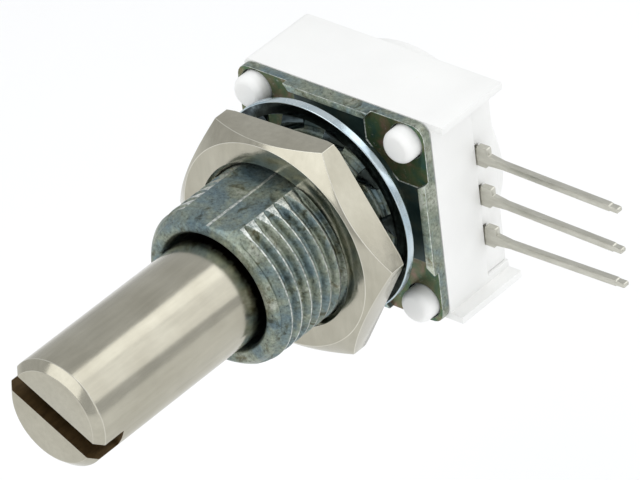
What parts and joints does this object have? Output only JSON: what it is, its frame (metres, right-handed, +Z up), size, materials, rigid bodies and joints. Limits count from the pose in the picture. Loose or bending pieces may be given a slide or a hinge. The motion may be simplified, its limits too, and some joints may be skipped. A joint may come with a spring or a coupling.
{
  "type": "rotary encoder",
  "caption": "Square panel rotary encoder with a slotted round shaft in a threaded bushing, hex nut, toothed lock washer, white housing and flat side terminals.",
  "frame": {"origin": "on the shaft's axis in the plane of the bushing's panel shoulder", "axes": "-Y out along the shaft towards its slotted tip, +Y to the rear cover, +X along the terminals, +Z up"},
  "size_m": [0.023, 0.03, 0.013],
  "materials": {
    "zinc_casting": "die-cast zinc alloy, grey, slightly grainy, passivated",
    "nickel_plated_brass": "satin nickel plate, warm grey",
    "zinc_plated_steel": "bright blue-white zinc plate",
    "white_plastic": "moulded, semi-matte, white",
    "tinned_brass": "satin tin plate",
    "spring_bronze": "rolled phosphor bronze",
    "gilt_brass": "gold flashed contact surface",
    "spring_steel": "oiled spring steel",
    "ball_steel": "polished bearing steel",
    "natural_plastic": "natural acetal",
    "dark_plastic": "moulded, black"
  },
  "bodies": {
    "body": {"bushing": "zinc_casting", "housing": "white_plastic", "terminal_carrier": "white_plastic", "rear_cover": "white_plastic", "terminal_a": "tinned_brass", "terminal_common": "tinned_brass", "terminal_b": "tinned_brass", "wiper_a": "spring_bronze", "wiper_common": "spring_bronze", "wiper_b": "spring_bronze", "thrust_washer": "natural_plastic", "wave_washer": "spring_steel"},
    "shaft_assembly": {"shaft": "nickel_plated_brass", "retaining_ring": "spring_steel", "detent_wheel": "spring_steel", "rotor": "dark_plastic", "code_disc": "gilt_brass"},
    "washer": {"lock_washer": "zinc_plated_steel"},
    "nut": {"hex_nut": "nickel_plated_brass"},
    "detent": {"detent_ball": "ball_steel", "detent_spring": "spring_bronze"}
  },
  "joints": [
    {"name": "shaft_turn", "type": "hinge", "parent": "body", "child": "shaft_assembly", "pos_m": [0, 0, 0], "axis": [0, -1, 0], "continuous": true},
    {"name": "washer_slide", "type": "slide", "parent": "body", "child": "washer", "axis": [0, -1, 0], "range_m": [-0.00024, 0.0056]},
    {"name": "nut_turn", "type": "hinge", "parent": "washer", "child": "nut", "pos_m": [0, 0, 0], "axis": [0, -1, 0], "range_deg": [-110, 2540]},
    {"name": "detent_travel", "type": "slide", "parent": "body", "child": "detent", "axis": [-0.7934, 0, -0.6088], "range_m": [0, 0.00018], "stiffness_N_per_m": 300, "springref_m": -0.001}
  ],
  "couplings": [
    {"joint": "nut_turn", "follows": "washer_slide", "rad_per_m": 7913.3}
  ]
}
